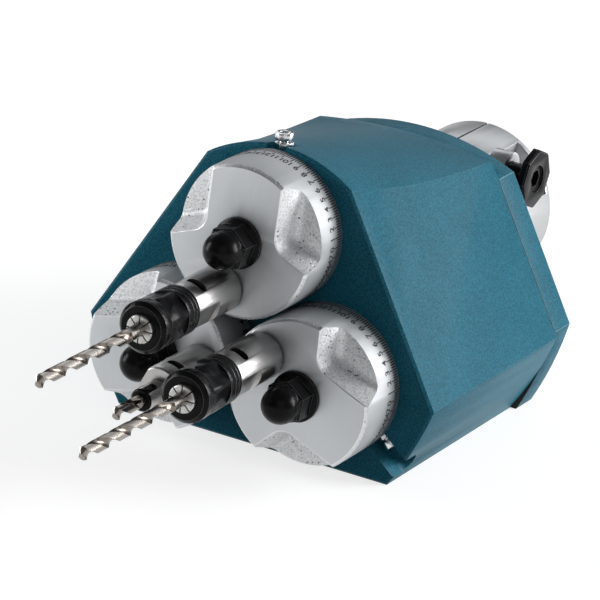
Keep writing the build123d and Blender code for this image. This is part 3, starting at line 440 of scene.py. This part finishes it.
def turned_about(centre, dull, bright, rough):
    """Turned aluminium with rings about a line through the centre along Y, between two tones."""
    def shade(place):
        from_axis = place.node("VectorMath", {"operation": "SUBTRACT"}, {0: place, 1: centre})
        flat = from_axis.node("VectorMath", {"operation": "MULTIPLY"}, {0: from_axis, 1: (1, 0, 1)})
        radius = flat.node("VectorMath", {"operation": "LENGTH"}, {0: flat}, "Value")
        rings = radius.node("TexNoise", {"noise_dimensions": "1D"},
                            {"W": radius, "Scale": ring_grains, "Detail": 2.0})
        brush = place.noise(120.0, detail=3.0, stretch=(6.0, 1.0, 0.5))
        cloud = place.noise(35.0, detail=3.0)
        tone = 0.5 * cloud + 0.5 * brush
        return {
            "Base Color": tone.tint(dull, bright),
            "Roughness": rough + 0.12 * brush + 0.06 * rings,
            "Normal": (rings + brush).relief(0.00002, strength=0.4),
        }
    return shade


def cast_skin(place):
    pebbles = place.noise(900.0, detail=3.0)
    cells = place.node("TexVoronoi", None, {"Vector": place, "Scale": 360.0}, "Distance")
    holes = cells.between(0.3, 0.12) * place.noise(70.0).between(0.48, 0.58)
    grain = pebbles.between(0.62, 0.3) * 0.32
    dark = grain.math("MAXIMUM", grain, holes)
    return {
        "Base Color": dark.tint((0.85, 0.865, 0.875), (0.06, 0.06, 0.06)),
        "Roughness": 0.45 + 0.15 * pebbles,
        "Normal": (pebbles - 0.9 * holes).relief(0.0006, strength=0.45),
    }


# Scallop crests and broken disc edges: the lower roughness is real polish, and the lighter colour is a
# painted highlight.
def polished_crest(place):
    tone_cloud = place.noise(300.0)
    return {
        "Base Color": tone_cloud.tint((0.66, 0.67, 0.68), (0.76, 0.77, 0.78)),
        "Roughness": 0.3 + 0.1 * tone_cloud,
    }


def engraved(place):
    fill = place.noise(1500.0)
    return {
        "Base Color": fill.tint((0.015, 0.015, 0.016), (0.05, 0.05, 0.05)),
        "Roughness": 0.5 + 0.3 * fill,
    }


cast_aluminium = new_finish("cast_aluminium", {"Metallic": 0.6}, cast_skin)
crest_painted_highlight = new_finish("crest_aluminium_painted_highlight", {"Metallic": 1.0}, polished_crest)
mark_black = new_finish("engraved_mark_black", {"Specular IOR Level": 0.3}, engraved)

# The lines of one rim, which stand on a circle round +Z before they are set on a disc
scale_sizes = {
    "Rim Radius": disc_radius,
    "Line Width": 0.0006,
    "Line Length": 0.0052,
    "Line Height": 0.00012,
    "Start": 0.0006,
    "Longer": 1.6,
}
scale_counts = {"Lines": 192, "Long Every": 4}
scale_tree = bpy.data.node_groups.new("rim_scale", "GeometryNodeTree")
scale_tree.interface.new_socket("Geometry", in_out="OUTPUT", socket_type="NodeSocketGeometry")
for socket in scale_sizes:
    scale_tree.interface.new_socket(socket, in_out="INPUT", socket_type="NodeSocketFloat")
for socket in scale_counts:
    scale_tree.interface.new_socket(socket, in_out="INPUT", socket_type="NodeSocketInt")


def scale_node(kind, settings, inputs):
    """A node of the rim scale's tree, by its first output."""
    made = scale_tree.nodes.new(kind)
    for setting, value in settings.items():
        setattr(made, setting, value)
    for socket, value in inputs.items():
        if isinstance(value, bpy.types.NodeSocket):
            scale_tree.links.new(value, made.inputs[socket])
        else:
            made.inputs[socket].default_value = value
    return made.outputs[0]


def scale_sum(operation, first, second):
    return scale_node("ShaderNodeMath", {"operation": operation}, {0: first, 1: second})


def scale_vector(parts):
    return scale_node("ShaderNodeCombineXYZ", {}, parts)


given = scale_tree.nodes.new("NodeGroupInput").outputs
circle = scale_node("GeometryNodeMeshCircle", {}, {"Vertices": given["Lines"], "Radius": given["Rim Radius"]})
line_size = scale_vector({0: given["Line Height"], 1: given["Line Width"], 2: given["Line Length"]})
line = scale_node("GeometryNodeMeshCube", {}, {"Size": line_size})
line_lift = scale_vector({2: scale_sum("MULTIPLY", given["Line Length"], 0.5)})
line = scale_node("GeometryNodeTransform", {}, {"Geometry": line, "Translation": line_lift})
number = scale_node("GeometryNodeInputIndex", {}, {})
share = scale_sum("DIVIDE", number, given["Lines"])
facing = scale_vector({2: scale_sum("MULTIPLY", share, math.tau)})
beat = scale_sum("MODULO", number, given["Long Every"])
plain = scale_sum("MINIMUM", beat, 1.0)
stretch = scale_node("ShaderNodeMix", {}, {0: plain, 2: given["Longer"], 3: 1.0})
growth = scale_vector({0: 1.0, 1: 1.0, 2: stretch})
row_of_lines = scale_node("GeometryNodeInstanceOnPoints", {},
                          {"Points": circle, "Instance": line, "Rotation": facing, "Scale": growth})
row_of_lines = scale_node("GeometryNodeRealizeInstances", {}, {"Geometry": row_of_lines})
rise = scale_vector({2: given["Start"]})
row_of_lines = scale_node("GeometryNodeTransform", {}, {"Geometry": row_of_lines, "Translation": rise})
row_of_lines = scale_node("GeometryNodeSetMaterial", {}, {"Geometry": row_of_lines, "Material": mark_black})
scale_tree.links.new(row_of_lines, scale_tree.nodes.new("NodeGroupOutput").inputs["Geometry"])

label_count = 48
digit_size = 0.0066
digit_weight = 0.00012
digit_start = 0.0095
digit_lift = 0.00008
digit_reach = disc_radius + digit_lift
for name, centre in disc_places.items():
    body = "disc_" + name
    on_disc = Matrix(((1, 0, 0, centre.x), (0, 0, -1, centre.y), (0, 1, 0, centre.z), (0, 0, 0, 1)))

    def disc_zone(face):
        """Turned face, rim painted darker as painted shade, cast scallops, and their crests painted lighter
        as a painted highlight.
        """
        spot = face.calc_center_median()
        depth = spot.y - disc_front
        if (spot - centre).xz.length > disc_radius - scallop_rim:
            return 1 if abs(face.normal.y) < rim_slope else 0
        if depth < flat_skin or spot.y > centre.y - scallop_rim:
            return 0
        return 3 if depth < crest_depth else 2

    turned = new_finish("turned_aluminium_" + name, {"Metallic": 1.0}, turned_about(centre, *face_turning))
    rim = new_finish("rim_aluminium_painted_shade_" + name, {"Metallic": 0.5}, turned_about(centre, *rim_turning_painted_shade))
    dress("eccentric_disc_" + name, "disc_casting_" + name,
          [turned, rim, cast_aluminium, crest_painted_highlight], edge=0.0005, zone=disc_zone)

    lines = bpy.data.objects.new("rim_lines_" + name, bpy.data.meshes.new("rim_lines_" + name))
    scene.collection.objects.link(lines)
    grow = lines.modifiers.new("rim_scale", "NODES")
    grow.node_group = scale_tree
    sockets = {socket.name: socket.identifier for socket in scale_tree.interface.items_tree}
    for socket, value in {**scale_sizes, **scale_counts}.items():
        grow[sockets[socket]] = value
    grown = settled(lines)
    lines.modifiers.clear()
    grown.transform(on_disc)
    lines.data = grown
    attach(lines, body)

    digits = bmesh.new()
    for label in range(label_count):
        words = bpy.data.curves.new("digits", "FONT")
        words.body = str(label)
        words.size = digit_size
        words.offset = digit_weight
        words.align_x = "CENTER"
        writer = bpy.data.objects.new("digits", words)
        scene.collection.objects.link(writer)
        flat = settled(writer)
        bpy.data.objects.remove(writer)
        for vertex in flat.vertices:
            turn = math.tau * label / label_count + vertex.co.x / disc_radius
            digit_height = digit_start + vertex.co.y
            vertex.co = (digit_reach * math.cos(turn), digit_reach * math.sin(turn), digit_height)
        digits.from_mesh(flat)
        bpy.data.meshes.remove(flat)
    written = bpy.data.meshes.new("rim_numbers_" + name)
    digits.to_mesh(written)
    digits.free()
    written.transform(on_disc)
    written.materials.append(mark_black)
    numbers = bpy.data.objects.new("rim_numbers_" + name, written)
    scene.collection.objects.link(numbers)
    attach(numbers, body)

# Dome nuts and disc clamp screws
# Black cap nuts with a round flange hold the discs on their studs. In a pocket by each disc a plated screw
# with a lock nut bears on the disc's spigot.
for name in disc_places:
    dress("dome_nut_" + name, "cap_nut_" + name, [black_oxide, black_painted_edge_highlight], edge=0.0004)
    dress("disc_clamp_screw_" + name, "pocket_screw_" + name, [bright_screw], edge=0.0003)
dress("clamp_lock_nuts", "pocket_lock_nuts", [bright_screw], edge=0.0003)

# Spindles, chucks and drills
# Ground steel noses with a drift slot and spanner flats carry black collet chucks, whose slotted collets
# grip bright twist drills. The left spindle has a plain holder with a set screw and a stub drill.
slot_height = 0.077
slot_half = 0.0032
slot_wall_slope = 0.5
nose_skin = 0.0005
for name, centre in disc_places.items():
    low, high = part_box("spindle_" + name)
    nose_axis = (low + high) / 2
    nose_radius = (high.x - low.x) / 2

    def nose_zone(face):
        """The walls of the drift slot are painted near black: painted shade in the slot."""
        spot = face.calc_center_median()
        out = (spot - nose_axis).xz
        by_slot = abs(spot.y - centre.y + slot_height) < slot_half
        is_wall = face.normal.xz.dot(out) < slot_wall_slope * out.length
        return 1 if by_slot and is_wall and out.length < nose_radius - nose_skin else 0

    dress("spindle_" + name, "spindle_nose_" + name,
          [spindle_steel, painted_slot_shade, spindle_steel], edge=0.0003, zone=nose_zone)
for name in ("top", "right"):
    dress("collet_chuck_" + name, "chuck_body_" + name, [black_oxide, black_painted_edge_highlight], edge=0.0002)
    dress("collet_nut_" + name, "chuck_nut_" + name, [black_oxide, black_painted_edge_highlight], edge=0.0005)
    dress("collet_" + name, "slotted_collet_" + name, [collet_steel], edge=0.0001)
holder_ring = 0.009
holder_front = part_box("tool_holder")[0].y


def holder_zone(face):
    """The front ring of the holder is black."""
    return 1 if face.calc_center_median().y < holder_front + holder_ring else 0


dress("tool_holder", "plain_holder", [spindle_steel, black_oxide, black_painted_edge_highlight], edge=0.0003,
      zone=holder_zone)
dress("holder_set_screw", "holder_grub_screw", [black_oxide], edge=0.0001)


# Darker steel inside the flutes than on the lands: painted shade in the grooves.
def burnt_flutes(place):
    steel_cloud = place.noise(90.0)
    return {
        "Base Color": steel_cloud.tint((0.13, 0.11, 0.095), (0.3, 0.265, 0.235)),
        "Roughness": 0.18 + 0.12 * steel_cloud,
    }


flute_steel_painted_shade = new_finish("flute_steel_with_painted_shade", {"Metallic": 1.0}, burnt_flutes)
drill_sides = 96
drill_ring_gap = 0.0005
long_flute_start = 0.147
short_flute_start = 0.114
flute_pitch = 0.047
flute_arc = 0.0036
flute_centre = 0.0049
flute_run_out = 0.008
flute_edge = math.radians(35.0)
point_slope = math.tan(math.radians(59.0))


def twisted_drill(node, name, flute_start):
    """A drill with two helical flutes that run out into its shank, and a cone point."""
    source = frame["nodes"][node]
    low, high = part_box(node)
    axis_x = (low.x + high.x) / 2
    axis_z = (low.z + high.z) / 2
    radius = (high.x - low.x) / 2
    start_y = front_y - flute_start
    ring_count = round((start_y - low.y) / drill_ring_gap)
    ring_places = [high.y]
    for ring in range(ring_count):
        ring_places.append(start_y - (start_y - low.y) * ring / ring_count)
    verts = []
    for y in ring_places:
        travel = start_y - y
        cut = min(1.0, max(0.0, travel / flute_run_out)) ** 0.5
        for side in range(drill_sides):
            angle = math.tau * side / drill_sides
            off_flute = math.asin(math.sin(angle))
            chord = flute_arc ** 2 - (flute_centre * math.sin(off_flute)) ** 2
            reach = radius
            if chord > 0.0:
                hollow = flute_centre * math.cos(off_flute) - math.sqrt(chord)
                reach = radius - (radius - min(radius, hollow)) * cut
            reach = min(reach, (y - low.y) * point_slope)
            turned = angle + math.tau * max(0.0, travel) / flute_pitch
            verts.append((axis_x + reach * math.cos(turned), y, axis_z + reach * math.sin(turned)))
    tip = len(verts)
    verts.append((axis_x, low.y, axis_z))
    faces = [list(range(drill_sides - 1, -1, -1))]
    in_flute = [False]
    for ring in range(len(ring_places) - 1):
        for side in range(drill_sides):
            first = ring * drill_sides + side
            second = ring * drill_sides + (side + 1) % drill_sides
            faces.append((first, second, second + drill_sides, first + drill_sides))
            middle_angle = math.tau * (side + 0.5) / drill_sides
            hollowed = abs(flute_centre * math.sin(middle_angle)) < flute_arc
            in_flute.append(ring > 0 and hollowed)
    last = tip - drill_sides
    for side in range(drill_sides):
        faces.append((last + side, last + (side + 1) % drill_sides, tip))
        in_flute.append(False)
    mesh = bpy.data.meshes.new(name)
    mesh.from_pydata(verts, [], faces)
    mesh.shade_smooth()
    mesh.set_sharp_from_angle(angle=flute_edge)
    mesh.materials.append(drill_steel)
    mesh.materials.append(flute_steel_painted_shade)
    mesh.polygons.foreach_set("material_index", [int(hollow) for hollow in in_flute])
    piece = bpy.data.objects.new(name, mesh)
    scene.collection.objects.link(piece)
    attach(piece, source["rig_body"])
    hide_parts(node)


twisted_drill("twist_drill_top", "long_drill_top", long_flute_start)
twisted_drill("twist_drill_right", "long_drill_right", long_flute_start)
twisted_drill("stub_drill", "short_drill", short_flute_start)

# Stage
# A pale floor that looks white but sends little light back up, a soft bright band of sky behind, a soft
# light behind on the right that rakes the right flank, one on the left that rakes the front, and a dim one
# in front.
floor_drop = 0.0002
floor_reach = 12.0
floor_glow = 0.74
floor_bounce = (0.16, 0.17, 0.18, 1)
floor_z = cad_box[0][2] - floor_drop
floor_corners = []
for side_x, side_y in ((-1, -1), (1, -1), (1, 1), (-1, 1)):
    floor_corners.append((side_x * floor_reach, side_y * floor_reach, floor_z))
floor_mesh = bpy.data.meshes.new("pale_floor")
floor_mesh.from_pydata(floor_corners, [], [(0, 1, 2, 3)])
floor = bpy.data.objects.new("pale_floor", floor_mesh)
scene.collection.objects.link(floor)


def pale_sheet(place):
    grain = place.noise(3.0)
    return {"Base Color": grain.tint((0.4, 0.4, 0.4), (0.42, 0.42, 0.42))}


def seen_or_mirrored(tree):
    """1 for what the camera, a mirror or clear glass shows, and 0 for light that spreads."""
    camera_ray = Wire(tree).node("LightPath", None, None, "Is Camera Ray")
    glossy_ray = camera_ray.node("LightPath", None, None, "Is Glossy Ray")
    clear_ray = camera_ray.node("LightPath", None, None, "Is Transmission Ray")
    return camera_ray + glossy_ray + clear_ray


floor_sockets = {
    "Roughness": 0.9,
    "Specular IOR Level": 0.1,
    "Emission Color": (1, 1, 1, 1),
    "Emission Strength": floor_glow,
}
floor_sheet = new_finish("pale_floor_sheet", floor_sockets, pale_sheet)
floor_tree = floor_sheet.node_tree
shown = Wire(floor_tree, floor_tree.nodes["Principled BSDF"].outputs[0])
dim = shown.node("BsdfDiffuse", None, {"Color": floor_bounce})
mixed = dim.node("MixShader", None, {0: seen_or_mirrored(floor_tree), 1: dim, 2: shown})
floor_tree.links.new(mixed.socket, floor_tree.nodes["Material Output"].inputs["Surface"])
floor_mesh.materials.append(floor_sheet)

sky_dim = (0.13, 0.135, 0.14)
sky_bright = (1.5, 1.52, 1.55)
world = bpy.data.worlds.new("studio")
scene.world = world
world.use_nodes = True
sky_tree = world.node_tree
sky = sky_tree.nodes["Background"]
view = Wire(sky_tree).node("TexCoord", None, None, "Generated")
ahead = view.node("SeparateXYZ", None, {0: view}, "Y")
height = view.node("SeparateXYZ", None, {0: view}, "Z")
back_light = ahead.between(-0.1, 0.6) * height.between(0.24, 0.4) * height.between(0.75, 0.5)
glow = back_light.tint(sky_dim, sky_bright)
sky_tree.links.new(glow.socket, sky.inputs["Color"])
white = view.node("Background", None, {"Color": (1, 1, 1, 1)})
camera_ray = view.node("LightPath", None, None, "Is Camera Ray")
both = view.node("MixShader", None, {0: camera_ray, 1: Wire(sky_tree, sky.outputs[0]), 2: white})
sky_tree.links.new(both.socket, sky_tree.nodes["World Output"].inputs["Surface"])

light_aim = Vector((0.0, -0.2, 0.0))


def soft_light(name, place, width, height, power):
    """A soft lamp of that size in metres and power in watts, turned to the part."""
    lamp = bpy.data.lights.new(name, "AREA")
    lamp.shape = "RECTANGLE"
    lamp.size = width
    lamp.size_y = height
    lamp.energy = power
    holder = bpy.data.objects.new(name, lamp)
    scene.collection.objects.link(holder)
    holder.location = place
    holder.rotation_euler = (light_aim - Vector(place)).to_track_quat("-Z", "Y").to_euler()


soft_light("back_right_light", (1.85, 0.95, 0.68), width=1.2, height=1.2, power=55.0)
soft_light("left_light", (-1.85, -0.95, 0.38), width=0.7, height=1.2, power=22.0)
soft_light("front_fill_light", (1.3, -2.4, 1.1), width=2.2, height=2.2, power=8.0)

camera_place = Vector((1.1725, -2.5478, 0.9531))
camera_aim = Vector((0.0218, -0.2834, 0.0133))
camera_roll = math.radians(6.05)
camera_data = bpy.data.cameras.new("photo_camera")
camera_data.sensor_width = 36.0
camera_data.lens = 274.54
camera = bpy.data.objects.new("photo_camera", camera_data)
scene.collection.objects.link(camera)
level = (camera_aim - camera_place).to_track_quat("-Z", "Y").to_matrix().to_4x4()
camera.matrix_world = Matrix.Translation(camera_place) @ level @ Matrix.Rotation(camera_roll, 4, "Z")
scene.camera = camera
scene.view_settings.view_transform = "Standard"
